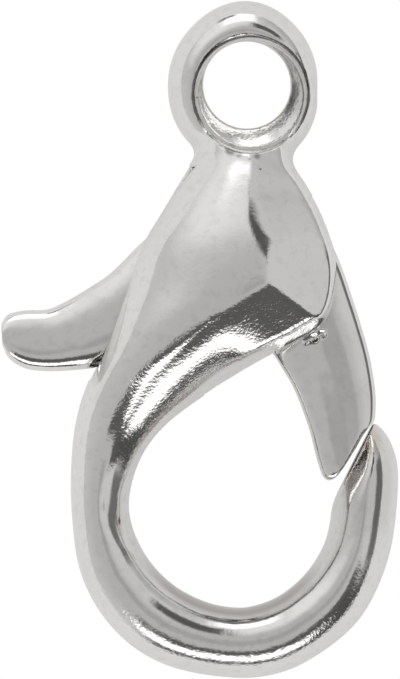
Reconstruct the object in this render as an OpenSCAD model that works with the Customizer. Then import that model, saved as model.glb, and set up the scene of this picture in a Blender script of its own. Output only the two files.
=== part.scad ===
// Lobster clasp for a necklace or bracelet, 12 mm long.
// It lies on its back on the plane z = 0. X runs to the right, Y towards the eye, Z up out of the front.
// All lengths are in millimetres and all angles in degrees.

/* [Body] */
// From the middle of the eye to the bottom of the hook
reach = 10.5; // [9.5:0.1:13]
// Width over the hook
hook_w = 5.8; // [5.2:0.1:7.5]
// Width over the shoulder
shoulder_w = 3.65; // [3.4:0.05:4.2]
// Thickness over the shoulder, from the back to the crest
shoulder_t = 3.0; // [2.8:0.05:3.6]
// Width of the hook's bar
bar_w = 1.2; // [0.9:0.05:1.4]
// Thickness of the hook's bar
bar_t = 2.1; // [1.9:0.05:2.6]

/* [Eye] */
// Diameter of the hole in the eye
eye_bore_d = 1.54; // [1.2:0.02:1.8]
// Wall of the eye
eye_wall = 0.6; // [0.45:0.05:0.8]
// Thickness of the eye
eye_t = 1.6; // [1.2:0.05:1.8]
// How far the hole's mouths widen
eye_flare = 0.2; // [0.05:0.05:0.3]

/* [Lever] */
// Thickness of the lever
lever_t = 1.0; // [0.8:0.05:1.1]
// Width of the thumb tab
tab_w = 1.05; // [0.8:0.05:1.2]
// Width of the heel, which turns on the pin
heel_w = 2.3; // [2.0:0.05:2.4]
// Width of the gate arm
gate_w = 1.38; // [1.1:0.05:1.5]
// Free space between the lever and each cheek
slot_gap = 0.075; // [0.04:0.005:0.12]
// Free space between the gate's end and the hook's end
gate_gap = 0.03; // [0.02:0.01:0.1]

/* [Pivot and spring] */
// Radius kept free for the heel round the pin
swing_r = 0.92; // [0.9:0.01:1]
// Diameter of the pivot pin
pin_d = 0.8; // [0.6:0.05:1.0]
// Radial play of the lever on the pin
pin_play = 0.04; // [0.02:0.005:0.06]
// Radial gap of the pin in the cheeks
pin_fit = 0.005; // [0.002:0.001:0.01]
// How deep the pin goes into the front cheek
pin_bite = 0.5; // [0.3:0.05:0.7]
// Outer diameter of the spring
spring_d = 0.65; // [0.5:0.05:0.7]
// Diameter of the spring's wire
spring_wire = 0.1; // [0.08:0.01:0.12]

/* [Hidden] */
SILVER = [0.86, 0.86, 0.85];
STEEL = [0.62, 0.62, 0.64];

// The middle of the lever and of its slot, above the back
mid_z = shoulder_t * 0.4;
slot_t = lever_t + 2 * slot_gap;

// Places on the clasp are shares of the width over the hook and of the reach: x is 0 at the hook's left side
// and 1 at its right side, y is 0 at the hook's bottom and 1 at the middle of the eye
function place(x, y) = [(x - 0.394) * hook_w, (y - 0.571) * reach];

EYE = place(0.537, 1);
PIVOT = place(0.591, 0.747);
PIN_TOP = mid_z + slot_t / 2 + pin_bite;
// How far a cutting shape runs past the faces that it cuts
OVER = 0.5;

// The slanted end face of the hook: the place where the gate meets it, and its direction down from there
HOOK_END = place(0.911, 0.424);
HOOK_END_TURN = -117;

// The spring stands along Y between the lever's heel and the closed end of the slot, at shares as above
SPRING_X = 0.435;
SPRING_SEAT = 0.788;
SPRING_WALL = 0.861;
SPRING_CLEAR = 0.04;
SPRING_TURNS = 3.5;
// Rings of the wire's tube in a turn, and its sides
WIRE_RINGS = 12;
WIRE_SIDES = 6;

// Sections of the body from the neck to the shank, then of the bar from the shank round to the hook's end.
// x, y: the outer edge, as shares of the hook's width and the reach
// turn: direction from the outer edge to the inner edge, in degrees
// wide: width, as a share of the shoulder's width, or of the bar's
// high: height of the crest, as a share of the shoulder's thickness, or of the bar's
// crest: how far the crest lies off the middle, as a share of half the width
// out, in: fullness of the front on the outer and the inner side, 2 for an ellipse and more for a squarer one
SHOULDER = [
  //  x      y     turn  wide   high  crest  out  in
  [0.403, 0.915,  -3,  0.408, 0.54,  0.05, 2.6, 2.6],
  [0.385, 0.890,  -4,  0.460, 0.58,  0.10, 2.4, 2.6],
  [0.366, 0.868,  -3,  0.505, 0.70,  0.18, 2.6, 2.6],
  [0.342, 0.848,  -1,  0.573, 0.81,  0.20, 2.8, 2.7],
  [0.307, 0.816,   0,  0.679, 0.91,  0.23, 2.8, 2.9],
  [0.270, 0.782,   1,  0.781, 0.97,  0.28, 2.8, 3.0],
  [0.235, 0.752,   1,  0.868, 1.00,  0.33, 2.8, 3.1],
  [0.208, 0.725,  -1,  0.924, 1.00,  0.38, 2.8, 3.1],
  [0.189, 0.698,  -2,  0.967, 0.99,  0.40, 2.8, 3.1],
  [0.175, 0.671,  -2,  0.990, 0.98,  0.36, 2.8, 3.0],
  [0.159, 0.646,  -3,  1.000, 0.97,  0.28, 2.8, 2.8],
  [0.144, 0.622,  -3,  0.995, 0.96,  0.18, 2.8, 2.6],
  [0.129, 0.597,  -2,  0.950, 0.94,  0.10, 2.8, 2.5],
  [0.111, 0.568,  -1,  0.872, 0.92,  0.05, 2.8, 2.5],
  [0.089, 0.541,  -1,  0.776, 0.89,  0.02, 2.7, 2.5],
  [0.068, 0.518,  -2,  0.679, 0.86,  0.00, 2.6, 2.5],
  [0.047, 0.492,  -4,  0.578, 0.82,  0.00, 2.5, 2.5],
  [0.029, 0.464,  -7,  0.468, 0.78,  0.00, 2.4, 2.4],
  [0.013, 0.427,  -9,  0.382, 0.74,  0.00, 2.4, 2.4],
];
BAR = [
  //  x      y     turn  wide   high  crest  out  in
  [0.004, 0.388, -12, 0.995, 1.02, 0.00, 2.4, 2.4],
  [0.000, 0.343, -11, 0.900, 1.00, 0.00, 2.4, 2.4],
  [0.000, 0.300,  -5, 0.850, 1.00, 0.00, 2.4, 2.4],
  [0.007, 0.252,   7, 0.847, 1.00, 0.00, 2.4, 2.4],
  [0.018, 0.198,  18, 0.940, 1.00, 0.00, 2.4, 2.4],
  [0.048, 0.151,  26, 1.000, 1.00, 0.00, 2.4, 2.4],
  [0.088, 0.112,  31, 1.059, 1.00, 0.00, 2.4, 2.4],
  [0.143, 0.075,  38, 1.100, 1.00, 0.00, 2.4, 2.4],
  [0.220, 0.040,  48, 1.130, 1.00, 0.00, 2.4, 2.4],
  [0.333, 0.013,  61, 1.083, 1.00, 0.00, 2.4, 2.4],
  [0.461, 0.003,  78, 1.025, 1.00, 0.00, 2.4, 2.4],
  [0.552, 0.000,  91, 1.047, 1.00, 0.00, 2.4, 2.4],
  [0.655, 0.011, 104, 1.059, 1.00, 0.00, 2.4, 2.4],
  [0.741, 0.035, 115, 1.037, 1.00, 0.00, 2.4, 2.4],
  [0.829, 0.070, 126, 1.044, 1.00, 0.00, 2.4, 2.4],
  [0.896, 0.109, 137, 1.043, 1.00, 0.00, 2.4, 2.4],
  [0.947, 0.166, 152, 0.971, 1.00, 0.00, 2.4, 2.4],
  [0.978, 0.220, 166, 0.956, 1.00, 0.00, 2.4, 2.4],
  [0.992, 0.275, 178, 0.948, 1.00, 0.00, 2.4, 2.4],
  [1.000, 0.338, 187, 0.959, 0.98, 0.00, 2.4, 2.4],
  [0.993, 0.371, 190, 0.869, 0.95, 0.00, 2.3, 2.3],
  [0.975, 0.400, 193, 0.726, 0.90, 0.00, 2.2, 2.2],
  [0.947, 0.423, 196, 0.553, 0.80, 0.00, 2.1, 2.1],
  [0.914, 0.434, 201, 0.332, 0.66, 0.00, 2.0, 2.0],
];

// Sections of the lever: the thumb tab, the heel round the pin and the gate arm.
// x, y and turn as above; wide is a share of the tab's, the heel's or the gate's width
TAB = [
  //  x       y     turn  wide
  [-0.212, 0.597,  -86, 0.370],
  [-0.190, 0.613,  -89, 0.740],
  [-0.140, 0.620,  -89, 0.980],
  [-0.069, 0.622,  -90, 1.044],
  [-0.005, 0.638,  -89, 1.190],
  [ 0.056, 0.658,  -88, 1.353],
  [ 0.111, 0.678,  -84, 1.450],
];
HEEL = [
  //  x      y     turn  wide
  [0.153, 0.699,  -78, 0.700],
  [0.199, 0.725,  -74, 0.760],
  [0.248, 0.749,  -72, 0.825],
  [0.308, 0.768,  -74, 0.891],
  [0.382, 0.780,  -79, 0.919],
  [0.461, 0.787,  -86, 0.930],
  [0.525, 0.803,  -91, 1.000],
  [0.594, 0.811,  -98, 1.064],
  [0.668, 0.802, -105, 1.075],
  [0.728, 0.782, -112, 1.050],
  [0.777, 0.750, -118, 0.988],
];
GATE = [
  //  x      y     turn  wide
  [0.820, 0.701, -125, 1.462],
  [0.856, 0.644, -133, 1.288],
  [0.887, 0.590, -140, 1.155],
  [0.911, 0.541, -147, 1.067],
  [0.926, 0.492, -152, 0.981],
  [0.929, 0.460, -152, 0.923],
  [0.925, 0.435, -143, 0.903],
  [0.908, 0.423, -130, 0.865],
  [0.890, 0.410, -123, 0.652],
  [0.871, 0.391, -122, 0.334],
];

// Outer shape of the eye: direction from its middle, and the wall as a share of the named wall
EYE_RIM = [
  // at   wall
  [  0, 0.80],
  [ 45, 0.95],
  [ 90, 1.20],
  [135, 1.08],
  [180, 1.05],
  [203, 1.09],
  [230, 1.12],
  [270, 1.00],
  [303, 1.09],
  [338, 0.92],
];

// Smooth curve through four neighbouring rows, t of the way from the second to the third
function between(a, b, c, d, t) =
  0.5 * (2 * b + (c - a) * t + (2 * a - 5 * b + 4 * c - d) * t * t + (3 * b - a - 3 * c + d) * t * t * t);

// The rows of a table with more rows put smoothly between them
function smooth_rows(rows, steps) =
  let(last = len(rows) - 1)
  [for (i = [0:last], k = [0:(i == last ? 0 : steps - 1)])
    between(rows[max(i - 1, 0)], rows[i], rows[min(i + 1, last)], rows[min(i + 2, last)], k / steps)];

// A power that keeps the sign of its base
function signed_pow(v, p) = sign(v) * pow(abs(v), p);

// One rounded section, as points [across, up] from the outer edge: the front from edge to edge, then the back
function section(wide, back, side, front, crest, full_out, full_in, full_back, front_n, back_n) = [
  for (k = [0:front_n - 1])
    let(a = 180 * k / front_n, full = a < 90 ? full_out : full_in,
        u = -signed_pow(cos(a), 2 / full), v = pow(sin(a), 2 / full))
    [wide / 2 * (1 + u + crest * (1 - u * u)), side + (front - side) * v],
  for (k = [0:back_n - 1])
    let(a = 180 * k / back_n, u = signed_pow(cos(a), 2 / full_back), v = pow(sin(a), 2 / full_back))
    [wide / 2 * (1 + u), side - (side - back) * v],
];

// A section set up at a place, with its line from the outer to the inner edge turned in the XY plane
function stand(points, at, turn) =
  [for (p = points) [at[0] + p[0] * cos(turn), at[1] + p[0] * sin(turn), p[1]]];

// Closed skin over a row of rings that have equally many points, with both ends capped by fans
module skin(rings) {
  n = len(rings[0]);
  m = len(rings);
  points = [for (ring = rings) each ring];
  sides = [for (i = [0:m - 2], k = [0:n - 1]) let(a = i * n + k, b = i * n + (k + 1) % n)
    each [[a, b, b + n], [a, b + n, a + n]]];
  caps = [for (k = [1:n - 2]) each [[0, k + 1, k], [(m - 1) * n, (m - 1) * n + k, (m - 1) * n + k + 1]]];
  polyhedron(points, concat(sides, caps));
}

// Points round the front and round the back of a section of the body, and how full its back is
FRONT_N = 16;
BACK_N = 12;
BACK_FULL = 4;
// The same for a section of the lever
LEVER_N = 10;
LEVER_FULL = 4.5;
// How many stretches smooth the way from one row of a table to the next
STEPS = 2;

// Rows of a table of the body with real lengths in place of the shares. mid is the height of the widest line.
function body_rows(table, width, thickness, mid) =
  [for (r = table) concat(place(r[0], r[1]), [r[2], r[3] * width, r[4] * thickness, mid, r[5], r[6], r[7]])];

// Rows of a table of the lever with real lengths in place of the shares
function lever_rows(table, width) = [for (r = table) concat(place(r[0], r[1]), [r[2], r[3] * width])];

module body_skin() {
  rows = concat(
    body_rows(SHOULDER, shoulder_w, shoulder_t, mid_z),
    body_rows(BAR, bar_w, bar_t, bar_t / 2));
  skin([for (r = smooth_rows(rows, STEPS))
    stand(section(r[3], 0, r[5], r[4], r[6], r[7], r[8], BACK_FULL, FRONT_N, BACK_N), [r[0], r[1]], r[2])]);
}

module lever_skin() {
  low = mid_z - lever_t / 2;
  high = mid_z + lever_t / 2;
  rows = smooth_rows(
    concat(lever_rows(TAB, tab_w), lever_rows(HEEL, heel_w), lever_rows(GATE, gate_w)), STEPS);
  skin([for (i = [len(rows) - 1:-1:0])
    let(r = rows[i],
      points = section(r[3], low, mid_z, high, 0, LEVER_FULL, LEVER_FULL, LEVER_FULL, LEVER_N, LEVER_N))
    stand(points, [r[0], r[1]], r[2])]);
}

// The eye before it is bored: an egg-shaped disc with rounded edges
module eye_blank() {
  edge_r = 0.3 * eye_t;
  rim = smooth_rows(concat(EYE_RIM, [[360, EYE_RIM[0][1]]]), 4);
  around = [for (i = [0:len(rim) - 2]) rim[i]];
  levels = concat(
    [for (a = [90:-30:0]) [eye_t - edge_r * (1 - sin(a)), edge_r * (1 - cos(a))]],
    [for (a = [0:30:90]) [edge_r * (1 - sin(a)), edge_r * (1 - cos(a))]]);
  translate([EYE[0], EYE[1], 0])
    skin([for (v = levels)
      [for (r = around)
        let(radius = eye_bore_d / 2 + r[1] * eye_wall - v[1])
        [radius * cos(r[0]), radius * sin(r[0]), v[0]]]]);
}

// The hole through the eye: a true cylinder in the middle, with a rounded mouth at each face
module eye_bore() {
  r = eye_bore_d / 2;
  mouth = 0.22 * eye_t;
  arc = [for (a = [0:22.5:90]) [r + eye_flare * (1 - cos(a)), mouth * (1 - sin(a))]];
  translate([EYE[0], EYE[1], 0])
    rotate_extrude($fn = 64)
      polygon(concat(
        [[0, -OVER], [r + eye_flare, -OVER]],
        [for (i = [len(arc) - 1:-1:0]) arc[i]],
        [for (p = arc) [p[0], eye_t - p[1]]],
        [[r + eye_flare, shoulder_t], [0, shoulder_t]]));
}

// The slot between the cheeks, open to the left for the tab and to the right and below for the gate
module slot() {
  floor_left = place(-0.05, 0.513);
  floor_right = place(0.461, 0.475);
  out_low = place(0.835, 0.561);
  out_high = place(0.856, 0.809);
  wall_left = place(0.240, SPRING_WALL);
  arc = [for (a = [45:15:120]) [PIVOT[0] + swing_r * cos(a), PIVOT[1] + swing_r * sin(a)]];
  translate([0, 0, mid_z - slot_t / 2])
    linear_extrude(slot_t)
      polygon(concat(
        [floor_left, floor_right, out_low, [out_high[0], arc[0][1]]],
        arc,
        [[arc[len(arc) - 1][0], wall_left[1]], wall_left]));
}

// Everything beyond the slanted end face of the hook
module beyond_hook_end() {
  side = bar_w;
  translate([HOOK_END[0], HOOK_END[1], -OVER])
    rotate(HOOK_END_TURN)
      translate([-side / 2, gate_gap - side, 0]) cube([2 * side, side, bar_t + 2 * OVER]);
}

// The casting: eye, neck, shoulder with its two cheeks, shank and hook
module hook_body() color(SILVER) {
  difference() {
    union() {
      body_skin();
      eye_blank();
    }
    eye_bore();
    slot();
    beyond_hook_end();
    translate([PIVOT[0], PIVOT[1], -OVER])
      cylinder(r = pin_d / 2 + pin_fit, h = OVER + PIN_TOP + pin_fit, $fn = 48);
  }
}

// The moving piece: thumb tab, heel with the pivot hole, and gate arm
module lever() color(SILVER) {
  difference() {
    lever_skin();
    translate([PIVOT[0], PIVOT[1], 0]) cylinder(r = pin_d / 2 + pin_play, h = shoulder_t, $fn = 48);
  }
}

// The pin, flush with the back and ending in the front cheek
module pivot_pin() color(STEEL) {
  translate([PIVOT[0], PIVOT[1], 0]) cylinder(d = pin_d, h = PIN_TOP, $fn = 48);
}

// The return spring: a round coil from the lever's heel to the closed end of the slot
module spring() color(STEEL) {
  seat = place(SPRING_X, SPRING_SEAT);
  wall = place(SPRING_X, SPRING_WALL);
  rise = wall[1] - seat[1] - 2 * SPRING_CLEAR - spring_wire;
  coil_r = (spring_d - spring_wire) / 2;
  rings = SPRING_TURNS * WIRE_RINGS;
  translate([seat[0], seat[1] + SPRING_CLEAR + spring_wire / 2, mid_z])
    rotate([-90, 0, 0])
      skin([for (i = [0:rings])
        let(a = 360 * i / WIRE_RINGS, lead = atan2(rise / SPRING_TURNS, 2 * PI * coil_r))
        [for (k = [0:WIRE_SIDES - 1])
          let(b = 360 * k / WIRE_SIDES, out = spring_wire / 2 * cos(b), up = spring_wire / 2 * sin(b))
          [(coil_r + out) * cos(a) + up * sin(lead) * sin(a),
            (coil_r + out) * sin(a) - up * sin(lead) * cos(a),
            rise * i / rings + up * cos(lead)]]]);
}

hook_body();
lever();
pivot_pin();
spring();
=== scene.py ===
"""Lobster clasp, dressed for rendering. Lengths are in millimetres until a mesh is made, then in metres."""
import math

import bpy
import numpy as np
from mathutils.bvhtree import BVHTree
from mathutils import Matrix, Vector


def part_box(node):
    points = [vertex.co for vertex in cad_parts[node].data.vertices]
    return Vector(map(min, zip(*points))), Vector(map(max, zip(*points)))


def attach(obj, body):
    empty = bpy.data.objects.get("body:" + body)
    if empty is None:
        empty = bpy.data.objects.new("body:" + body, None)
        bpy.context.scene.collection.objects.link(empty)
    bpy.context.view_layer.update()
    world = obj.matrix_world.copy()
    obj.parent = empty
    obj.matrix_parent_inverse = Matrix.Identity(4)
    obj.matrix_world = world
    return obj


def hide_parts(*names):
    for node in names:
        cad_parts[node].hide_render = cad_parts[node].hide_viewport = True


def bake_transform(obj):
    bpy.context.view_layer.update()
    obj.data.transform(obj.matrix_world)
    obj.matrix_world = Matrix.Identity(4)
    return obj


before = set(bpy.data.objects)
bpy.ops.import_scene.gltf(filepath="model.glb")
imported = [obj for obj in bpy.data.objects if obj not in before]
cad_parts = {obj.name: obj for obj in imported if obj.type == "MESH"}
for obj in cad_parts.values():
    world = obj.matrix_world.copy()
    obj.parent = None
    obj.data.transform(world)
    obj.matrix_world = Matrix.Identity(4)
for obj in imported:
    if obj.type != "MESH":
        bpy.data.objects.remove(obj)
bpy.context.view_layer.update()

MM = 0.001
# What the photograph's frame spans from top to bottom, and how far above the floor the camera stands
FRAME_H = 12.003
CAMERA_UP = 250

# Sizes of the clasp, as in its solids
REACH = 10.5
HOOK_W = 5.8
SHOULDER_W = 3.65
SHOULDER_T = 3.0
BAR_W = 1.2
BAR_T = 2.1
BORE_R = 0.77
EYE_WALL = 0.6
EYE_T = 1.6
LEVER_T = 1.0
TAB_W = 1.05
HEEL_W = 2.3
GATE_W = 1.38
SLOT_GAP = 0.075
GATE_GAP = 0.03
SWING_R = 0.92
PIN_R = 0.4
PIN_PLAY = 0.04
PIN_FIT = 0.005
PIN_BITE = 0.5
SPRING_R = 0.275
SPRING_WIRE = 0.1
MID_Z = SHOULDER_T * 0.4
SLOT_T = LEVER_T + 2 * SLOT_GAP


def place(x, y):
    """A point from shares of the hook's width and of the reach."""
    return np.array([(x - 0.394) * HOOK_W, (y - 0.571) * REACH])


EYE = place(0.537, 1)
# Where the crest of the eye's ring runs between the middle of its wall, at 0, and the bore, at 1, and how far
# the ring reaches past the bore before the bore is cut
EYE_CREST = 0.40
EYE_OVERLAP = 0.03
# The countersink: its middle, its radius at the eye's front, the height where its cone meets the bore, how
# much the cone leans, and how much the wall round it widens with the height
SINK = place(0.549, 0.984)
SINK_R = 0.99
SINK_LOW = 1.12
SINK_FLARE = 1.2
SINK_DRAFT = 0.1
PIVOT = place(0.591, 0.747)
# How much the lever's front falls a full width away from its crest, and where across it the crest runs
TAB_DOME = 0.038
TAB_CREST = 2.1
GATE_DOME = 0.20
GATE_CREST = 0.42
# The width over which the front falls, as a share of the tab's and of the gate's width
DOME_SPAN = 1.1
# Where the tab's rounded end starts, on its outer edge
TAB_EDGE = (-0.069, 0.622)
PIN_TOP = MID_Z + SLOT_T / 2 + PIN_BITE
HOOK_END = place(0.911, 0.424)
HOOK_END_TURN = -117
# The end face is upright against the gate, and is chamfered above the gate's front
HOOK_END_LEAN = 0.9
# The directions from the pivot between which the slot gives way to the turning heel
SWING_ARC = range(45, 121, 5)
# Where the spring stands on the lever's heel and on the slot's end wall, and its play at either end
SPRING_SEAT = place(0.435, 0.788)
SPRING_WALL = place(0.435, 0.861)
SPRING_PLAY = 0.04
SPRING_TURNS = 3.5
# How much closer the end turns lie than the mean, and the share to which the wire's ends are ground down
END_TURNS_CLOSED = 0.35
WIRE_END = 0.75

# How full the sections are: of the body's back, of the eye outside, inside and at the back, and of the lever
BACK_FULL = 4
EYE_FULL = (2.2, 2.4, 2.6)
TAB_FULL = 3.4
GATE_FULL = 6.5
LEVER_BACK_FULL = 4.5

# How softly the forms meet, in millimetres
SOFT_ROLL = 0.035
SOFT_EYE = 0.22
SOFT_SINK = 0.03
SOFT_BORE = 0.06
SOFT_SLOT = 0.05
SOFT_END = 0.06
SOFT_PIN_HOLE = 0.02
SOFT_BACK = 0.02
SOFT_LEVER_HOLE = 0.03
SOFT_DENT = 0.02

# How fine the meshes are: points over the front of a section, rows made out of one row of a table, rows over
# which the body is eased, degrees between the eye's sections, and the steps of the wire and the pin
BODY_POINTS = 64
EYE_POINTS = 32
LEVER_POINTS = 48
ROW_STEPS = 12
ROLL_STEPS = 10
CREST_STEPS = 8
RIM_STEPS = 8
EASE_REACH = 14
EYE_STEP = 3
TURN_STEPS = 64
WIRE_SIDES = 16
WIRE_END_STEPS = 3
PIN_SIDES = 64
# Spacing of the corners in millimetres, and the room that is searched round each solid
BODY_PITCH, LEVER_PITCH = ((0.046, 0.04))
ROLL_PITCH = 0.02
ROOM = 0.13
# How far from the eye its distance is still measured
EYE_NEAR = 0.3

# In the tables below x and y are shares, as place() takes them, and widths and heights are shares of the
# sizes above. First the sections from the neck to the shank, then those of the bar round to the hook's end: x
# and y of the outer edge, turn of the section in degrees, width, height, place of the crest, and how full the
# front is on the outer and on the inner side
SHOULDER = [
    (0.403, 0.915, -3, 0.408, 0.74, 0.05, 2.2, 2.6),
    (0.385, 0.890, -4, 0.460, 0.752, 0.12, 2.2, 2.6),
    (0.366, 0.868, -3, 0.505, 0.788, 0.18, 2.3, 2.7),
    (0.342, 0.848, -1, 0.573, 0.822, 0.18, 2.5, 2.8),
    (0.307, 0.816, 0, 0.679, 0.871, 0.18, 2.7, 3.0),
    (0.270, 0.782, 1, 0.781, 0.921, 0.20, 2.8, 3.2),
    (0.235, 0.752, 1, 0.868, 0.958, 0.23, 2.8, 3.4),
    (0.208, 0.725, -1, 0.950, 0.982, 0.27, 2.8, 3.5),
    (0.189, 0.698, -2, 0.988, 0.996, 0.32, 2.8, 3.4),
    (0.175, 0.671, -2, 1.003, 1.003, 0.34, 2.8, 3.4),
    (0.159, 0.646, -3, 1.018, 1.00, 0.29, 2.8, 3.6),
    (0.144, 0.622, -3, 1.012, 0.985, 0.18, 2.8, 4.2),
    (0.129, 0.597, -2, 0.982, 0.965, 0.10, 2.8, 5.0),
    (0.111, 0.568, -1, 0.887, 0.935, 0.05, 2.8, 5.0),
    (0.089, 0.541, -1, 0.776, 0.90, 0.02, 2.7, 5.0),
    (0.068, 0.518, -2, 0.679, 0.86, 0.00, 2.6, 4.6),
    (0.047, 0.492, -4, 0.578, 0.81, 0.00, 2.5, 4.2),
    (0.029, 0.464, -7, 0.468, 0.765, 0.00, 2.4, 3.8),
    (0.013, 0.427, -9, 0.382, 0.72, 0.00, 2.4, 3.4),
]
BAR = [
    (0.004, 0.388, -12, 0.995, 1.00, 0.00, 2.4, 3.0),
    (0.000, 0.343, -11, 0.900, 1.00, 0.00, 2.4, 2.7),
    (0.000, 0.300, -5, 0.850, 1.00, 0.00, 2.4, 2.4),
    (0.007, 0.252, 7, 0.847, 1.00, 0.00, 2.4, 2.4),
    (0.018, 0.198, 18, 0.940, 1.00, 0.00, 2.4, 2.4),
    (0.048, 0.151, 26, 1.000, 1.00, 0.00, 2.4, 2.4),
    (0.088, 0.112, 31, 1.059, 1.00, 0.00, 2.4, 2.4),
    (0.143, 0.075, 38, 1.100, 1.00, 0.00, 2.4, 2.4),
    (0.220, 0.040, 48, 1.130, 1.00, 0.00, 2.4, 2.4),
    (0.333, 0.013, 61, 1.083, 1.00, 0.00, 2.4, 2.4),
    (0.461, 0.003, 78, 1.025, 1.00, 0.00, 2.4, 2.4),
    (0.552, 0.000, 91, 1.047, 1.00, 0.00, 2.4, 2.4),
    (0.655, 0.011, 104, 1.059, 1.00, 0.00, 2.4, 2.4),
    (0.741, 0.035, 115, 1.037, 1.00, 0.00, 2.4, 2.4),
    (0.829, 0.070, 126, 1.044, 1.00, 0.00, 2.3, 2.3),
    (0.896, 0.109, 137, 1.043, 1.00, 0.00, 2.2, 2.2),
    (0.947, 0.166, 152, 0.971, 1.00, 0.00, 2.1, 2.1),
    (0.978, 0.220, 166, 0.956, 1.00, 0.00, 2.0, 2.0),
    (0.992, 0.275, 178, 0.948, 1.00, 0.00, 2.0, 2.0),
    (1.000, 0.338, 187, 0.959, 0.98, 0.00, 2.0, 2.0),
    (0.993, 0.371, 190, 0.869, 0.95, 0.00, 2.0, 2.0),
    (0.975, 0.400, 193, 0.726, 0.90, 0.00, 2.0, 2.0),
    (0.947, 0.423, 196, 0.553, 0.80, 0.00, 2.0, 2.0),
    (0.914, 0.434, 201, 0.332, 0.66, 0.00, 2.0, 2.0),
]
# The lever's sections from the tab over the heel to the gate's end: x and y of the outer edge, turn and width
TAB = [
    (-0.212, 0.597, -86, 0.370),
    (-0.190, 0.613, -89, 0.740),
    (-0.140, 0.620, -89, 0.980),
    (-0.069, 0.622, -90, 1.044),
    (-0.005, 0.638, -89, 1.190),
    (0.056, 0.658, -88, 1.353),
    (0.111, 0.678, -84, 1.450),
]
HEEL = [
    (0.153, 0.699, -78, 0.700),
    (0.199, 0.725, -74, 0.760),
    (0.248, 0.749, -72, 0.825),
    (0.308, 0.768, -74, 0.891),
    (0.382, 0.780, -79, 0.919),
    (0.461, 0.787, -86, 0.930),
    (0.525, 0.803, -91, 1.000),
    (0.594, 0.811, -98, 1.064),
    (0.668, 0.802, -105, 1.075),
    (0.728, 0.782, -112, 1.050),
    (0.777, 0.750, -118, 0.988),
]
GATE = [
    (0.820, 0.701, -125, 1.462),
    (0.856, 0.644, -133, 1.288),
    (0.887, 0.590, -140, 1.155),
    (0.911, 0.541, -147, 1.067),
    (0.926, 0.492, -152, 0.981),
    (0.929, 0.460, -152, 0.923),
    (0.925, 0.435, -143, 0.903),
    (0.908, 0.423, -130, 0.865),
    (0.890, 0.410, -123, 0.652),
    (0.871, 0.391, -122, 0.334),
]
# Casting dents in the gate's front where it comes out from under the shoulder: x, y, radius and depth
DENTS = [
    (0.716, 0.568, 0.1, 0.06),
    (0.740, 0.573, 0.09, 0.07),
    (0.765, 0.580, 0.08, 0.05),
    (0.725, 0.556, 0.05, 0.03),
    (0.658, 0.553, 0.1, 0.05),
    (0.664, 0.526, 0.07, 0.03),
]
# The pin from its punched back end to its front end: radius and height
PIN_PROFILE = [
    (0.02, 0.018), (0.10, 0.016), (0.17, 0.010), (0.22, 0.003), (0.26, 0.000), (PIN_R - 0.06, 0.000),
    (PIN_R - 0.028, 0.008), (PIN_R - 0.008, 0.024), (PIN_R, 0.050), (PIN_R, 0.30), (PIN_R, 0.90),
    (PIN_R, 1.50), (PIN_R, PIN_TOP - 0.06), (PIN_R - 0.015, PIN_TOP - 0.02), (PIN_R - 0.045, PIN_TOP),
    (0.15, PIN_TOP), (0.02, PIN_TOP),
]
# The roll by which the shoulder goes down to the inside of the hook, and the steep bead along its foot: x and
# y above, x and y at the foot, then the heights above, where the bead starts and at the foot, as shares of
# the shoulder's, and the roll's first slope as a share of its mean slope
ROLL = [
    (0.750, 0.703, 0.841, 0.614, 0.992, 0.896, 0.748, 0.95),
    (0.698, 0.686, 0.789, 0.597, 0.992, 0.896, 0.748, 0.95),
    (0.643, 0.669, 0.734, 0.580, 0.992, 0.896, 0.748, 0.95),
    (0.591, 0.652, 0.683, 0.563, 0.992, 0.896, 0.748, 0.95),
    (0.537, 0.636, 0.619, 0.546, 0.992, 0.896, 0.748, 0.95),
    (0.485, 0.617, 0.549, 0.524, 0.982, 0.857, 0.700, 0.50),
    (0.418, 0.595, 0.482, 0.504, 0.960, 0.783, 0.620, 0.24),
    (0.333, 0.553, 0.394, 0.465, 0.910, 0.720, 0.533, 0.22),
    (0.242, 0.503, 0.305, 0.427, 0.830, 0.673, 0.493, 0.32),
    (0.178, 0.444, 0.242, 0.390, 0.747, 0.620, 0.473, 0.42),
    (0.138, 0.393, 0.199, 0.344, 0.707, 0.603, 0.473, 0.50),
    (0.111, 0.334, 0.178, 0.297, 0.695, 0.603, 0.483, 0.50),
    (0.102, 0.275, 0.179, 0.253, 0.693, 0.603, 0.497, 0.42),
    (0.114, 0.199, 0.193, 0.213, 0.767, 0.687, 0.643, 0.42),
    (0.144, 0.149, 0.217, 0.169, 0.933, 0.867, 0.833, 0.42),
]
# Where the bead starts as a share of the way down, how far before that it begins to bend, how much of it is
# bent, and how much it falls at the least, as a share of the shoulder's height
BEAD_START = 0.80
BEAD_LEAD = 0.06
BEAD_BENT = 0.4
BEAD_LEAST = 0.006
# From where above the crease to where below the foot the roll's sheet runs, in shares of the way down, in how
# many points, and its slope above the crease as a share of its mean slope
ROLL_SPAN = (-0.9, 1.5)
ROLL_POINTS = 61
ROLL_ABOVE = 1.2
# The crest of the shoulder as x, y and share of its height, and the slope of the flat facet right of it
CREST = [
    (0.543, 0.923, 0.695),
    (0.546, 0.898, 0.730),
    (0.552, 0.873, 0.770),
    (0.561, 0.848, 0.810),
    (0.570, 0.822, 0.848),
    (0.579, 0.797, 0.886),
    (0.591, 0.763, 0.932),
    (0.604, 0.733, 0.965),
    (0.610, 0.701, 0.987),
    (0.610, 0.668, 0.996),
    (0.610, 0.637, 0.996),
    (0.610, 0.604, 0.995),
    (0.610, 0.561, 0.994),
]
FACET_SLOPE = 0.38
# How softly the facet meets the rest, in millimetres, at heights up the clasp
SOFT_CREST = ((1.1, 1.6, 2.2, 2.8), (0.03, 0.065, 0.065, 0.03))
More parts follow.
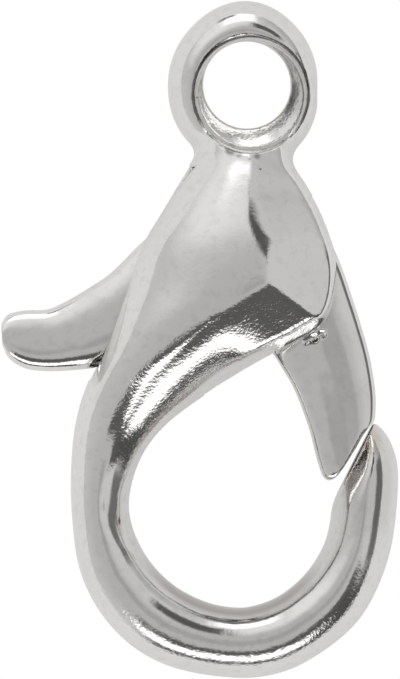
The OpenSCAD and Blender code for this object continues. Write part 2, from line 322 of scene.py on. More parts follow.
# The eye's wall in directions from its middle, in degrees, as shares of the named wall
EYE_RIM = [
    (0, 0.80), (45, 0.95), (90, 1.20), (135, 1.08), (180, 1.05),
    (203, 1.09), (230, 1.12), (270, 1.00), (303, 1.09), (338, 0.92),
]


def smooth_rows(rows, steps):
    """The rows of a table with more rows put smoothly between them."""
    rows = np.array(rows, float)
    last = len(rows) - 1
    out = []
    for i in range(last):
        a, b, c, d = rows[max(i - 1, 0)], rows[i], rows[i + 1], rows[min(i + 2, last)]
        for k in range(steps):
            t = k / steps
            out.append(0.5 * (2 * b + (c - a) * t + (2 * a - 5 * b + 4 * c - d) * t * t
                              + (3 * b - a - 3 * c + d) * t ** 3))
    out.append(rows[last])
    return np.array(out)


def eased(rows, reach):
    """Rows averaged with their neighbours, which takes the unevenness out of a table whose rows were read one
    by one.
    """
    weight = np.hanning(2 * reach + 3)[1:-1]
    before = 2 * rows[0] - rows[reach:0:-1]
    after = 2 * rows[-1] - rows[-2:-reach - 2:-1]
    padded = np.vstack([before, rows, after])
    return np.stack([np.convolve(column, weight / weight.sum(), "valid") for column in padded.T], 1)


def section(wide, back, side, front, crest, full_out, full_in, full_back, count):
    """One rounded section as [across, up] from the outer edge: the front from edge to edge, then the back."""
    a = np.pi * np.arange(count) / count
    full = np.where(a < np.pi / 2, full_out, full_in)
    u = -np.sign(np.cos(a)) * np.abs(np.cos(a)) ** (2 / full)
    v = np.abs(np.sin(a)) ** (2 / full)
    top = np.stack([wide / 2 * (1 + u + crest * (1 - u * u)), side + (front - side) * v], 1)
    u = np.sign(np.cos(a)) * np.abs(np.cos(a)) ** (2 / full_back)
    v = np.abs(np.sin(a)) ** (2 / full_back)
    low = np.stack([wide / 2 * (1 + u), side - (side - back) * v], 1)
    return np.vstack([top, low])


def stand(points, at, turn):
    """A section set up at a place, turned in the XY plane."""
    t = math.radians(turn)
    return np.stack([at[0] + points[:, 0] * math.cos(t), at[1] + points[:, 0] * math.sin(t), points[:, 1]], 1)


def skin(rings):
    """Corners and faces of a closed skin over rings that have equally many points."""
    m, n = len(rings), len(rings[0])
    i = np.arange(m - 1)[:, None] * n
    k = np.arange(n)[None, :]
    a = i + k
    b = i + (k + 1) % n
    quads = np.stack([a, b, b + n, a + n], -1).reshape(-1, 4)
    faces = quads.tolist() + [list(range(n))[::-1], list(range((m - 1) * n, m * n))]
    return np.vstack(rings), faces


def distance_from(corners, faces):
    """Signed distance from a closed mesh, negative inside. The mesh's faces may wind either way."""
    corners = np.asarray(corners)
    tree = BVHTree.FromPolygons(corners.tolist(), faces)
    outside = 100.0
    at, normal, _, _ = tree.find_nearest((outside, 0.0, 0.0))
    flip = 1.0 if (outside - at[0]) * normal[0] >= 0 else -1.0

    def distance(points):
        out = np.empty(len(points))
        for i, (x, y, z) in enumerate(points.tolist()):
            at, normal, _, length = tree.find_nearest((x, y, z))
            side = (x - at[0]) * normal[0] + (y - at[1]) * normal[1] + (z - at[2]) * normal[2]
            out[i] = length if side * flip >= 0 else -length
        return out

    return distance


def smooth_max(a, b, k):
    """The larger of two distances, rounded off where they cross."""
    h = np.clip(0.5 + 0.5 * (a - b) / k, 0, 1)
    return b + (a - b) * h + k * h * (1 - h)


def smooth_min(a, b, k):
    """The smaller of two distances, filleted where they cross."""
    return -smooth_max(-a, -b, k)


def polygon_distance(p, corners):
    """Signed distance in the XY plane from a closed polygon, negative inside."""
    corners = np.array(corners)
    best = np.full(len(p), np.inf)
    inside = np.zeros(len(p), bool)
    for a, b in zip(corners, np.roll(corners, -1, axis=0)):
        edge = b - a
        w = p[:, :2] - a
        t = np.clip(w @ edge / (edge @ edge), 0, 1)
        off = w - t[:, None] * edge
        best = np.minimum(best, np.einsum("ij,ij->i", off, off))
        crosses = (a[1] > p[:, 1]) != (b[1] > p[:, 1])
        if a[1] != b[1]:
            x = a[0] + (p[:, 1] - a[1]) / (b[1] - a[1]) * (b[0] - a[0])
            inside ^= crosses & (p[:, 0] < x)
    return np.where(inside, -1, 1) * np.sqrt(best)


def sheet_height(rows, low, high, pitch):
    """A function that gives the height and the steepness of a sheet of [x, y, z] points over the XY plane."""
    above, elsewhere, steepest = 20, 9.0, 3
    points, faces = skin(rows)
    n = len(rows[0])
    sheet = [face for face in faces[:-2] if {face[0] % n, face[1] % n} != {0, n - 1}]
    tree = BVHTree.FromPolygons(points.tolist(), sheet)
    count = np.ceil((np.array(high[:2]) - low[:2]) / pitch).astype(int) + 2
    grid = np.full(count, elsewhere)
    for i in range(count[0]):
        for k in range(count[1]):
            hit = tree.ray_cast((low[0] + i * pitch, low[1] + k * pitch, above), (0, 0, -1))
            if hit[0] is not None:
                grid[i, k] = hit[0][2]

    def height(p):
        at = (p[:, :2] - low[:2]) / pitch
        i = np.clip(at.astype(int), 0, count - 2)
        t = np.clip(at - i, 0, 1)
        a, b = grid[i[:, 0], i[:, 1]], grid[i[:, 0] + 1, i[:, 1]]
        c, d = grid[i[:, 0], i[:, 1] + 1], grid[i[:, 0] + 1, i[:, 1] + 1]
        z = a + (b - a) * t[:, 0] + (c - a) * t[:, 1] + (a - b - c + d) * t[:, 0] * t[:, 1]
        slopes = np.clip([(b - a) / pitch, (c - a) / pitch], -steepest, steepest)
        steep = np.hypot(*slopes)
        return z, steep

    return height


def surface(field, low, high, pitch):
    """Quads over the zero level of a distance field, found on a grid and then moved onto the level itself."""
    coarse = 4
    band = 1.2 * coarse * pitch
    count = np.ceil((np.array(high) - low) / (pitch * coarse)).astype(int) + 1
    axes = [low[i] + pitch * coarse * np.arange(count[i]) for i in range(3)]
    nodes = np.stack(np.meshgrid(*axes, indexing="ij"), -1).reshape(-1, 3)
    grid = field(nodes).reshape(count)
    for axis in range(3):
        n = grid.shape[axis]
        at = np.arange((n - 1) * coarse + 1) / coarse
        i = np.minimum(at.astype(int), n - 2)
        t = (at - i).reshape([-1 if a == axis else 1 for a in range(3)])
        grid = np.take(grid, i, axis) * (1 - t) + np.take(grid, i + 1, axis) * t
    near = np.argwhere(np.abs(grid) < band)
    grid[tuple(near.T)] = field(low + near * pitch)
    inside = grid < 0
    shape = np.array(grid.shape) - 1
    cells = [(a, b, c) for a in (0, 1) for b in (0, 1) for c in (0, 1)]

    def corner(array, o):
        return array[o[0]:o[0] + shape[0], o[1]:o[1] + shape[1], o[2]:o[2] + shape[2]]

    total = sum(corner(inside, o).astype(np.int8) for o in cells)
    active = np.argwhere((total > 0) & (total < 8))
    index = np.full(shape, -1)
    index[tuple(active.T)] = np.arange(len(active))
    summed = np.zeros((len(active), 3))
    hits = np.zeros(len(active))
    for o in cells:
        for axis in range(3):
            if o[axis]:
                continue
            e = list(o)
            e[axis] = 1
            fa = grid[tuple((active + o).T)]
            fb = grid[tuple((active + e).T)]
            cross = (fa < 0) != (fb < 0)
            t = np.where(cross, fa / np.where(cross, fa - fb, 1), 0)
            point = np.repeat(np.array([o], float), len(active), 0)
            point[:, axis] += t
            summed += point * cross[:, None]
            hits += cross
    corners = low + (active + summed / hits[:, None]) * pitch
    quads = []
    for axis in range(3):
        u, v = (axis + 1) % 3, (axis + 2) % 3
        step = np.eye(3, dtype=int)
        first = inside[tuple(slice(0, -1) if a == axis else slice(1, -1) for a in range(3))]
        second = inside[tuple(slice(1, None) if a == axis else slice(1, -1) for a in range(3))]
        edges = np.argwhere(first != second)
        leaving = first[tuple(edges.T)]
        edges = edges + np.array([0 if a == axis else 1 for a in range(3)])
        quad = np.stack([index[tuple((edges - s).T)]
                         for s in (0 * step[u], step[u], step[u] + step[v], step[v])], 1)
        quads.append(np.where(leaving[:, None], quad, quad[:, ::-1]))
    quads = np.vstack(quads)
    for _ in range(2):
        corners = relax(settle(field, corners, pitch), quads)
    return corners, quads


def settle(field, corners, pitch):
    """Moves corners onto the zero level of a distance field, by half a pitch at the most."""
    nudge = pitch / 4
    least = 0.2
    f = field(corners)
    slope = np.stack([(field(corners + nudge * np.eye(3)[a]) - f) / nudge for a in range(3)], 1)
    size = np.einsum("ij,ij->i", slope, slope)
    move = -(f / np.maximum(size, least))[:, None] * slope
    return corners + np.clip(move, -pitch / 2, pitch / 2)


def relax(corners, quads):
    """Evens a mesh without shrinking it: corners move towards their neighbours, then back a little more."""
    pairs = np.vstack([quads[:, [0, 1]], quads[:, [1, 2]], quads[:, [2, 3]], quads[:, [3, 0]]])
    number = np.bincount(pairs.ravel(), minlength=len(corners))
    for factor in (0.5, -0.53):
        total = np.zeros_like(corners)
        for a in range(3):
            total[:, a] = (np.bincount(pairs[:, 0], corners[pairs[:, 1], a], len(corners))
                           + np.bincount(pairs[:, 1], corners[pairs[:, 0], a], len(corners)))
        corners = corners + factor * (total / number[:, None] - corners)
    return corners


def room(node):
    """A solid's box with room round it, in millimetres, as its low and its high corner."""
    low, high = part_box(node)
    return np.array(low) / MM - ROOM, np.array(high) / MM + ROOM


def make(name, corners, faces, material):
    """A smooth mesh object in metres."""
    mesh = bpy.data.meshes.new(name)
    mesh.from_pydata((np.asarray(corners) * MM).tolist(), [], [list(face) for face in faces])
    mesh.update()
    mesh.polygons.foreach_set("use_smooth", np.ones(len(mesh.polygons), bool))
    mesh.materials.append(material)
    thing = bpy.data.objects.new(name, mesh)
    bpy.context.scene.collection.objects.link(thing)
    return thing


# The cast body

def body_rings():
    """The sections from the neck over the shoulder, down the shank and round the bar to the hook's end."""
    shoulder = np.array(SHOULDER)
    bar = np.array(BAR)
    shoulder[:, 3] *= SHOULDER_W
    shoulder[:, 4] *= SHOULDER_T
    bar[:, 3] *= BAR_W
    bar[:, 4] *= BAR_T
    side = np.concatenate([np.full(len(shoulder), MID_Z), np.full(len(bar), BAR_T / 2)])
    rows = eased(smooth_rows(np.column_stack([np.vstack([shoulder, bar]), side]), ROW_STEPS), EASE_REACH)
    rings = []
    for x, y, turn, width, height, crest, full_out, full_in, low in rows:
        ring = section(width, 0, low, height, crest, full_out, full_in, BACK_FULL, BODY_POINTS)
        rings.append(stand(ring, place(x, y), turn))
    return rings


def eye_rings():
    """The eye's ring round the bore, whose crest runs nearer to the bore than to the rim."""
    before = [(turn - 360, share) for turn, share in EYE_RIM[-2:]]
    after = [(turn + 360, share) for turn, share in EYE_RIM[:2]]
    rim = smooth_rows(before + EYE_RIM + after, RIM_STEPS)
    rings = []
    for turn in range(0, 360, EYE_STEP):
        a = math.radians(turn)
        wall = EYE_WALL * np.interp(turn, rim[:, 0], rim[:, 1])
        rim_point = EYE + (BORE_R + wall) * np.array([math.cos(a), math.sin(a)])
        ring = section(wall + EYE_OVERLAP, 0, EYE_T / 2, EYE_T, EYE_CREST, *EYE_FULL, EYE_POINTS)
        rings.append(stand(ring, rim_point, turn + 180))
    return rings + rings[:1]


def bore_distance(p):
    """The hole through the eye and its countersink, whose wall also cuts the front of the neck."""
    bore = np.hypot(p[:, 0] - EYE[0], p[:, 1] - EYE[1]) - BORE_R
    cone = (bore + (SINK_LOW - p[:, 2]) * SINK_FLARE) / math.hypot(1, SINK_FLARE)
    wall = np.hypot(p[:, 0] - SINK[0], p[:, 1] - SINK[1]) - SINK_R - SINK_DRAFT * (p[:, 2] - EYE_T)
    return np.minimum(bore, smooth_max(cone, wall, SOFT_SINK))


def slot_polygon():
    """The lever's slot from above: its floor, its open side, the heel's sweep and the spring's wall."""
    floor_left = place(-0.05, 0.513)
    floor_right = place(0.461, 0.475)
    out_low = place(0.835, 0.561)
    out_high = place(0.856, 0.809)
    wall_left = place(0.240, 0.861)
    arc = [PIVOT + SWING_R * np.array([math.cos(math.radians(a)), math.sin(math.radians(a))])
           for a in SWING_ARC]
    out_top = (out_high[0], arc[0][1])
    wall_right = (arc[-1][0], wall_left[1])
    return [floor_left, floor_right, out_low, out_top, *arc, wall_right, wall_left]


def beyond_hook_end(p):
    """The block that cuts the slanted end face of the hook, with its chamfer."""
    t = math.radians(HOOK_END_TURN)
    x, y = p[:, 0] - HOOK_END[0], p[:, 1] - HOOK_END[1]
    along = x * math.cos(t) + y * math.sin(t)
    off = y * math.cos(t) - x * math.sin(t) - GATE_GAP
    off = off - HOOK_END_LEAN * np.maximum(p[:, 2] - MID_Z - LEVER_T / 2, 0)
    return np.maximum(np.abs(along - BAR_W / 2) - BAR_W, np.abs(off + BAR_W / 2) - BAR_W / 2)


def roll_rows():
    """The sheet of the roll and its bead, carried on above the crease and below the foot."""
    share = np.linspace(*ROLL_SPAN, ROLL_POINTS)
    f = share / BEAD_START
    g = np.maximum(share - BEAD_START + BEAD_LEAD, 0) / (1 - BEAD_START + BEAD_LEAD)
    straight = 1 - BEAD_BENT / 2
    bead = np.where(g < BEAD_BENT, g * g / (2 * BEAD_BENT * straight), (g - BEAD_BENT / 2) / straight)
    rows = []
    for x, y, foot_x, foot_y, high, low, foot_high, start in smooth_rows(ROLL, ROLL_STEPS):
        top, foot = place(x, y), place(foot_x, foot_y)
        end = 2 - start
        bend = np.where(f < 1, f * (start + (1 - start) * f), 1 + end * (f - 1))
        roll = np.where(f < 0, ROLL_ABOVE * f, bend)
        fall = high - low
        rest = np.maximum(low - foot_high - fall * end * (1 / BEAD_START - 1), BEAD_LEAST)
        z = SHOULDER_T * (high - fall * roll - rest * bead)
        rows.append(np.column_stack([top + share[:, None] * (foot - top), z]))
    return rows


def facet_distance(p):
    """The flat facet to the right of the crest."""
    line = smooth_rows([(*place(x, y), share * SHOULDER_T) for x, y, share in CREST], CREST_STEPS)[::-1]
    x = np.interp(p[:, 1], line[:, 1], line[:, 0])
    z = np.interp(p[:, 1], line[:, 1], line[:, 2])
    facet = (p[:, 2] - z + FACET_SLOPE * (p[:, 0] - x)) / math.hypot(1, FACET_SLOPE)
    return np.minimum(facet, p[:, 1] - line[0, 1])


SLOT = slot_polygon()
BODY_BOX = room("hook_body")
roll_height = sheet_height(roll_rows(), *BODY_BOX, ROLL_PITCH)
body_skin = distance_from(*skin(body_rings()))
eye_corners, eye_faces = skin(eye_rings())
eye_skin = distance_from(eye_corners, eye_faces[:-2])


def eye_distance(p):
    """Distance from the eye's ring, exact only near it."""
    near = np.hypot(p[:, 0] - EYE[0], p[:, 1] - EYE[1]) - BORE_R - 2 * EYE_WALL
    d = np.maximum(near, EYE_NEAR)
    close = near < EYE_NEAR
    d[close] = eye_skin(p[close])
    return d


def body_distance(p):
    """The casting: the skin under the roll and the facet, with the eye, less what is cut out of it."""
    d = body_skin(p)
    z, steep = roll_height(p)
    d = smooth_max(d, (p[:, 2] - z) / np.hypot(1, steep), SOFT_ROLL)
    d = smooth_max(d, facet_distance(p), np.interp(p[:, 1], *SOFT_CREST))
    d = smooth_min(d, eye_distance(p), SOFT_EYE)
    d = smooth_max(d, -bore_distance(p), SOFT_BORE)
    slot = np.maximum(polygon_distance(p, SLOT), np.abs(p[:, 2] - MID_Z) - SLOT_T / 2)
    d = smooth_max(d, -slot, SOFT_SLOT)
    d = smooth_max(d, -beyond_hook_end(p), SOFT_END)
    hole = np.hypot(p[:, 0] - PIVOT[0], p[:, 1] - PIVOT[1]) - PIN_R - PIN_FIT
    hole = np.maximum(hole, p[:, 2] - PIN_TOP - PIN_FIT)
    d = smooth_max(d, -hole, SOFT_PIN_HOLE)
    return smooth_max(d, -p[:, 2], SOFT_BACK)


# The lever

def lever_rings():
    """The sections from the tab's end over the heel to the gate's end, their fronts domed a little."""
    tab, heel, gate = np.array(TAB), np.array(HEEL), np.array(GATE)
    tab[:, 3] *= TAB_W
    heel[:, 3] *= HEEL_W
    gate[:, 3] *= GATE_W
    shares = np.clip((np.arange(len(tab) + len(heel) + len(gate)) - len(tab)) / len(heel), 0, 1)
    rows = smooth_rows(np.column_stack([np.vstack([tab, heel, gate]), shares]), ROW_STEPS)
    half = LEVER_T / 2
    rings = []
    for x, y, turn, width, share in rows:
        full = TAB_FULL + (GATE_FULL - TAB_FULL) * share
        ring = section(width, MID_Z - half, MID_Z, MID_Z + half, 0, full, full, LEVER_BACK_FULL, LEVER_POINTS)
        dome = TAB_DOME + (GATE_DOME - TAB_DOME) * share
        crest = TAB_CREST + (GATE_CREST - TAB_CREST) * share
        across = DOME_SPAN * (TAB_W + (GATE_W - TAB_W) * share)
        front = ring[:LEVER_POINTS]
        rise = (front[:, 1] - MID_Z) / half
        inset = max(TAB_EDGE[1] - y, 0) * REACH if x < TAB_EDGE[0] else 0
        front[:, 1] -= rise * dome * ((front[:, 0] + inset) / across - crest) ** 2
        rings.append(stand(ring, place(x, y), turn))
    return rings


LEVER_BOX = room("lever")
lever_skin = distance_from(*skin(lever_rings()))


def lever_distance(p):
    """The lever's skin less the pin's hole and the casting dents."""
    hole = np.hypot(p[:, 0] - PIVOT[0], p[:, 1] - PIVOT[1]) - PIN_R - PIN_PLAY
    d = smooth_max(lever_skin(p), -hole, SOFT_LEVER_HOLE)
    for x, y, radius, depth in DENTS:
        middle = np.array([*place(x, y), MID_Z + LEVER_T / 2 + radius - depth])
        d = smooth_max(d, radius - np.linalg.norm(p - middle, axis=1), SOFT_DENT)
    return d


# The spring and the pin

def spring_mesh():
    """Corners and faces of the coil, a round wire swept along a helix whose end turns lie closer together."""
    rise = SPRING_WALL[1] - SPRING_SEAT[1] - 2 * SPRING_PLAY - SPRING_WIRE
    start = SPRING_SEAT[1] + SPRING_PLAY + SPRING_WIRE / 2
    lead = math.atan2(rise / SPRING_TURNS, 2 * math.pi * SPRING_R)
    b = 2 * np.pi * np.arange(WIRE_SIDES) / WIRE_SIDES
    count = int(SPRING_TURNS * TURN_STEPS)
    rings = []
    for i in range(count + 1):
        a = 2 * math.pi * i / TURN_STEPS
        share = i / count
        share -= END_TURNS_CLOSED * math.sin(2 * math.pi * share) / (2 * math.pi)
        blunt = min(1.0, WIRE_END + (1 - WIRE_END) * min(i, count - i) / WIRE_END_STEPS)
        out = blunt * SPRING_WIRE / 2 * np.cos(b)
        up = blunt * SPRING_WIRE / 2 * np.sin(b)
        x = (SPRING_R + out) * math.cos(a) + up * math.sin(lead) * math.sin(a)
        z = (SPRING_R + out) * math.sin(a) - up * math.sin(lead) * math.cos(a)
        y = rise * share + up * math.cos(lead)
        rings.append(np.stack([SPRING_SEAT[0] + x, start + y, MID_Z - z], 1))
    return skin(rings)


def pin_mesh():
    """Corners and faces of the pin, its back end set in a little by the punch and its edges broken."""
    a = 2 * np.pi * np.arange(PIN_SIDES) / PIN_SIDES
    return skin([np.stack([PIVOT[0] + r * np.cos(a), PIVOT[1] + r * np.sin(a), np.full(PIN_SIDES, z)], 1)
                 for r, z in PIN_PROFILE])


# Materials

BRIGHT_SILVER = (0.955, 0.95, 0.94)
CLOUDED_SILVER = (0.90, 0.89, 0.875)
MOTTLED_SILVER = (0.80, 0.79, 0.775)
# Painted shade, for a darker reflection over the hook's right side
PAINTED_SHADE_GREY = (0.70, 0.69, 0.67)
# Warm tarnish, darkened as painted shade, for the lip inside the hook's bottom
WARM_TARNISH_AND_SHADE = (0.58, 0.54, 0.52)
OLD_POLISH = (0.60, 0.50, 0.42)
# Warm tarnish with painted shade, for corners and gaps
TARNISH_AND_SHADE = (0.62, 0.56, 0.49)
PIT_DIRT = (0.20, 0.18, 0.16)
# Painted shade, for the notch where the neck meets the countersink's wall
PAINTED_NOTCH_SHADE = (0.18, 0.17, 0.16)
# Painted shade, for the dark ring round the countersink
PAINTED_SHADE_LINE = (0.13, 0.125, 0.12)
PIN_DULL = (0.60, 0.59, 0.58)
PIN_CLEAN = (0.72, 0.715, 0.70)
WIRE_DULL = (0.40, 0.39, 0.38)
WIRE_CLEAN = (0.56, 0.55, 0.54)
FLOOR_WHITE = (0.93, 0.93, 0.925)
FLOOR_GLOW = 0.4
LAMP_WHITE = (1, 0.995, 0.985)

# Real stain marks and patches of painted shade on the body's front: x, y, radius, strength and tint
STAINS_AND_SHADE = [
    # Painted shade: a grey patch that darkens the reflection over the hook's right side
    (0.966, 0.317, 0.95, 0.55, PAINTED_SHADE_GREY),
    # Painted shade: dark spots in the notch where the neck meets the countersink's wall
    (0.488, 0.890, 0.11, 0.8, PAINTED_NOTCH_SHADE),
    (0.512, 0.883, 0.08, 0.6, PAINTED_NOTCH_SHADE),
    (0.567, 0.878, 0.06, 0.6, PAINTED_NOTCH_SHADE),
    (0.911, 0.405, 0.28, 0.5, OLD_POLISH),
    (0.880, 0.381, 0.24, 0.45, OLD_POLISH),
]
# How far the noise moves a patch's edge, and how far out a patch has its full strength, in shares of its size
PATCH_WOBBLE = 0.6
PATCH_CORE = 0.1
# The painted shade line round the countersink, a dark ring painted where shade falls at its edge: how far
# outside its edge the line runs, half its width, how far the noise moves it, where it fades in, measured up
# the clasp from the countersink's middle, and its strength
LINE_OUT = 0.03
LINE_HALF = 0.024
LINE_WOBBLE = 0.03
LINE_FADE = (-0.64, -0.40)
LINE_STRENGTH = 0.9
# Where the warm lip on the inside of the hook's bottom, tarnish with painted shade, fades in, down the clasp
# and down from the front
LIP_Y = (-2.5, -3.2)
LIP_Z = (1.95, 1.68)


class Sums:
    """Arithmetic on the sockets of a node tree: a socket or a number goes in, and a socket comes out."""

    def __init__(self, tree):
        self.tree = tree

    def feed(self, socket, value):
        """Links an input to a node's output, or gives it a value. A colour is given as three numbers."""
        if isinstance(value, bpy.types.NodeSocket):
            self.tree.links.new(value, socket)
        elif socket.type == "RGBA":
            socket.default_value = (*value, 1)
        else:
            socket.default_value = value

    def node(self, kind, inputs=(), **settings):
        """A new node with its settings, its inputs fed in their order."""
        made = self.tree.nodes.new(kind)
        for key, value in settings.items():
            setattr(made, key, value)
        for i, value in enumerate(inputs):
            self.feed(made.inputs[i], value)
        return made

    def math(self, operation, *inputs):
        """The outcome of one operation of the math node."""
        return self.node("ShaderNodeMath", inputs, operation=operation).outputs[0]

    def dot(self, a, b):
        """The dot product of two vectors."""
        return self.node("ShaderNodeVectorMath", (a, b), operation="DOT_PRODUCT").outputs["Value"]

    def coordinates(self, kind):
        """A vector that tells where the light meets the piece, or which way the skin faces there."""
        return self.node("ShaderNodeTexCoord").outputs[kind]

    def axes(self, vector):
        """A vector's X, Y and Z sockets."""
        return self.node("ShaderNodeSeparateXYZ", (vector,)).outputs

    def seen(self):
        """1 to the camera and 0 to every other ray."""
        return self.node("ShaderNodeLightPath").outputs["Is Camera Ray"]

    def step(self, value, low, high):
        """0 at low and 1 at high, with a smooth rise between. Low may be the larger of the two."""
        made = self.node("ShaderNodeMapRange", (value, low, high, 0.0, 1.0), interpolation_type="SMOOTHSTEP")
        return made.outputs[0]

    def spread(self, share, least, most):
        """The value that lies the given share of the way from least to most."""
        return self.math("MULTIPLY_ADD", share, most - least, least)

    def blend(self, share, a, b):
        """a where share is 0, and b where it is 1, also where a or b is a socket."""
        made = self.node("ShaderNodeMix", data_type="FLOAT")
        for i, value in ((0, share), (2, a), (3, b)):
            self.feed(made.inputs[i], value)
        return made.outputs[0]

    def colour(self, share, a, b):
        """Colour a where share is 0, and b where it is 1."""
        made = self.node("ShaderNodeMix", data_type="RGBA")
        for i, value in ((0, share), (6, a), (7, b)):
            self.feed(made.inputs[i], value)
        return made.outputs[2]

    def tinted(self, colour, mask, strength, tint):
        """A colour with a tint over it where the mask is 1, at the given strength."""
        return self.colour(self.math("MULTIPLY", mask, strength), colour, tint)

    def noise(self, size, detail, stretch=(1, 1, 1)):
        """Noise from 0 to 1 with features of about the given size in millimetres."""
        mapping = self.node("ShaderNodeMapping", (self.coordinates("Object"),))
        mapping.inputs["Scale"].default_value = stretch
        made = self.node("ShaderNodeTexNoise")
        self.feed(made.inputs["Vector"], mapping.outputs[0])
        self.feed(made.inputs["Scale"], 1 / (size * MM))
        self.feed(made.inputs["Detail"], detail)
        return made.outputs["Fac"]

    def specks(self, spacing, rarity, largest):
        """1 in small round specks, at most one to a cell of a loose grid, their size given in cells."""
        made = self.node("ShaderNodeTexVoronoi")
        self.feed(made.inputs["Vector"], self.coordinates("Object"))
        self.feed(made.inputs["Scale"], 1 / (spacing * MM))
        share = self.node("ShaderNodeSeparateColor", (made.outputs["Color"],)).outputs["Red"]
        radius = self.math("MULTIPLY", self.step(share, rarity, 1.0), largest)
        return self.step(self.math("SUBTRACT", radius, made.outputs["Distance"]), low=0, high=0.02)

    def crevice(self, reach):
        """1 deep in corners and gaps narrower than the reach, and 0 in the open."""
        made = self.node("ShaderNodeAmbientOcclusion", samples=6)
        self.feed(made.inputs["Distance"], reach * MM)
        return self.step(made.outputs["AO"], low=0.75, high=0.25)

    def off(self, x, y):
        """Distance in millimetres from the upright line at x and y."""
        at = self.axes(self.coordinates("Object"))
        dx = self.math("SUBTRACT", at["X"], x * MM)
        dy = self.math("SUBTRACT", at["Y"], y * MM)
        squares = self.math("ADD", self.math("MULTIPLY", dx, dx), self.math("MULTIPLY", dy, dy))
        return self.math("DIVIDE", self.math("SQRT", squares), MM)

    def dress(self, shader, colour, rough, height):
        """Gives a shader its colour, its roughness and a skin whose height is in millimetres."""
        self.feed(shader.inputs["Base Color"], colour)
        self.feed(shader.inputs["Roughness"], rough)
        made = self.node("ShaderNodeBump")
        self.feed(made.inputs["Distance"], MM)
        self.feed(made.inputs["Height"], height)
        self.feed(shader.inputs["Normal"], made.outputs[0])


def new_material(name, metallic):
    """A material, the node arithmetic for it and its shader."""
    material = bpy.data.materials.new(name)
    material.use_nodes = True
    shader = material.node_tree.nodes["Principled BSDF"]
    shader.inputs["Metallic"].default_value = metallic
    return material, Sums(material.node_tree), shader


def silver_plate(name, pebbles, stains_and_shade):
    """Bright silver over a casting: a pebbled skin, soft waves, pits, and warm tarnish with painted shade in
    the corners.
    """
    material, sums, shader = new_material(name, 1)
    cloud = sums.step(sums.noise(size=0.9, detail=4), low=0.35, high=0.75)
    mottle = sums.step(sums.noise(size=0.16, detail=4), low=0.48, high=0.72)
    # Painted shade with warm tarnish: the colour darkens and warms where the AO node finds corners and gaps
    corner = sums.crevice(reach=0.35)
    pits = sums.specks(spacing=0.55, rarity=0.72, largest=0.075)
    colour = sums.tinted(BRIGHT_SILVER, cloud, 0.7, CLOUDED_SILVER)
    colour = sums.tinted(colour, mottle, 0.45, MOTTLED_SILVER)
    colour = sums.tinted(colour, corner, 0.6, TARNISH_AND_SHADE)
    colour = sums.tinted(colour, pits, 0.75, PIT_DIRT)
    # Real stain marks, and painted shade round the countersink, in patches and on the lip inside the hook
    if stains_and_shade:
        colour = stained_and_shaded(sums, colour)
    rough = sums.spread(sums.noise(size=0.25, detail=3), least=0.035, most=0.125)
    rough = sums.math("MULTIPLY_ADD", sums.math("MAXIMUM", pits, corner), 0.25, rough)
    # The pebbles stand higher on faces that look towards the hook's bottom, where no polishing wheel reached
    unpolished = sums.step(sums.axes(sums.coordinates("Normal"))["Y"], low=-0.08, high=-0.35)
    pebble = sums.blend(unpolished, 0.0012 * pebbles, 0.0060 * pebbles)
    height = sums.math("MULTIPLY", sums.noise(size=0.05, detail=3), pebble)
    for share, rise in (
        (sums.noise(size=0.6, detail=1), 0.009),
        (sums.noise(size=0.22, detail=1), 0.0022),
        (pits, -0.004),
    ):
        height = sums.math("MULTIPLY_ADD", share, rise, height)
    sums.dress(shader, colour, rough, height)
    return material


def stained_and_shaded(sums, colour):
    """The body's colour with real marks, painted shade round the countersink and in patches, and the lip
    inside the hook, warm with tarnish and darkened as painted shade.
    """
    rough = sums.noise(size=0.12, detail=3)
    at = sums.axes(sums.coordinates("Object"))
    normal = sums.axes(sums.coordinates("Normal"))
    # Painted shade: a dark ring round the countersink, fading out on its side towards the neck
    line = sums.math("ABSOLUTE", sums.math("SUBTRACT", sums.off(*SINK), SINK_R + LINE_OUT))
    line = sums.step(sums.math("MULTIPLY_ADD", rough, -LINE_WOBBLE, line), low=LINE_HALF, high=0)
    upper = sums.step(at["Y"], *((SINK[1] + y) * MM for y in LINE_FADE))
    colour = sums.tinted(colour, sums.math("MULTIPLY", line, upper), LINE_STRENGTH, PAINTED_SHADE_LINE)
    front = sums.step(normal["Z"], low=0.2, high=0.55)
    # Real stain marks, and patches of painted shade in the neck's notch and on the hook's right side
    for x, y, radius, strength, tint in STAINS_AND_SHADE:
        spot = sums.math("MULTIPLY_ADD", rough, -PATCH_WOBBLE * radius, sums.off(*place(x, y)))
        spot = sums.step(spot, low=radius, high=PATCH_CORE * radius)
        colour = sums.tinted(colour, sums.math("MULTIPLY", spot, front), strength, tint)
    # Warm tarnish with painted shade on the upward faces inside the hook's bottom
    lip = sums.step(normal["Y"], low=0.45, high=0.8)
    lip = sums.math("MULTIPLY", lip, sums.step(at["Y"], *(y * MM for y in LIP_Y)))
    lip = sums.math("MULTIPLY", lip, sums.step(at["Z"], *(z * MM for z in LIP_Z)))
    return sums.colour(lip, colour, WARM_TARNISH_AND_SHADE)


def pin_steel():
    """Turned steel, dulled a little."""
    material, sums, shader = new_material("pin_steel", 1)
    cloud = sums.noise(size=0.2, detail=3)
    turned = sums.math("MULTIPLY", sums.noise(size=0.3, detail=2, stretch=(1, 1, 12)), 0.004)
    rough = sums.spread(cloud, least=0.15, most=0.35)
    sums.dress(shader, sums.colour(cloud, PIN_DULL, PIN_CLEAN), rough, turned)
    return material


def spring_steel():
    """Drawn spring wire, darker, with fine marks along it."""
    material, sums, shader = new_material("spring_steel", 1)
    cloud = sums.noise(size=0.12, detail=3)
    marks = sums.math("MULTIPLY", sums.noise(size=0.05, detail=2, stretch=(1, 3, 1)), 0.002)
    rough = sums.spread(cloud, least=0.2, most=0.4)
    sums.dress(shader, sums.colour(cloud, WIRE_DULL, WIRE_CLEAN), rough, marks)
    return material


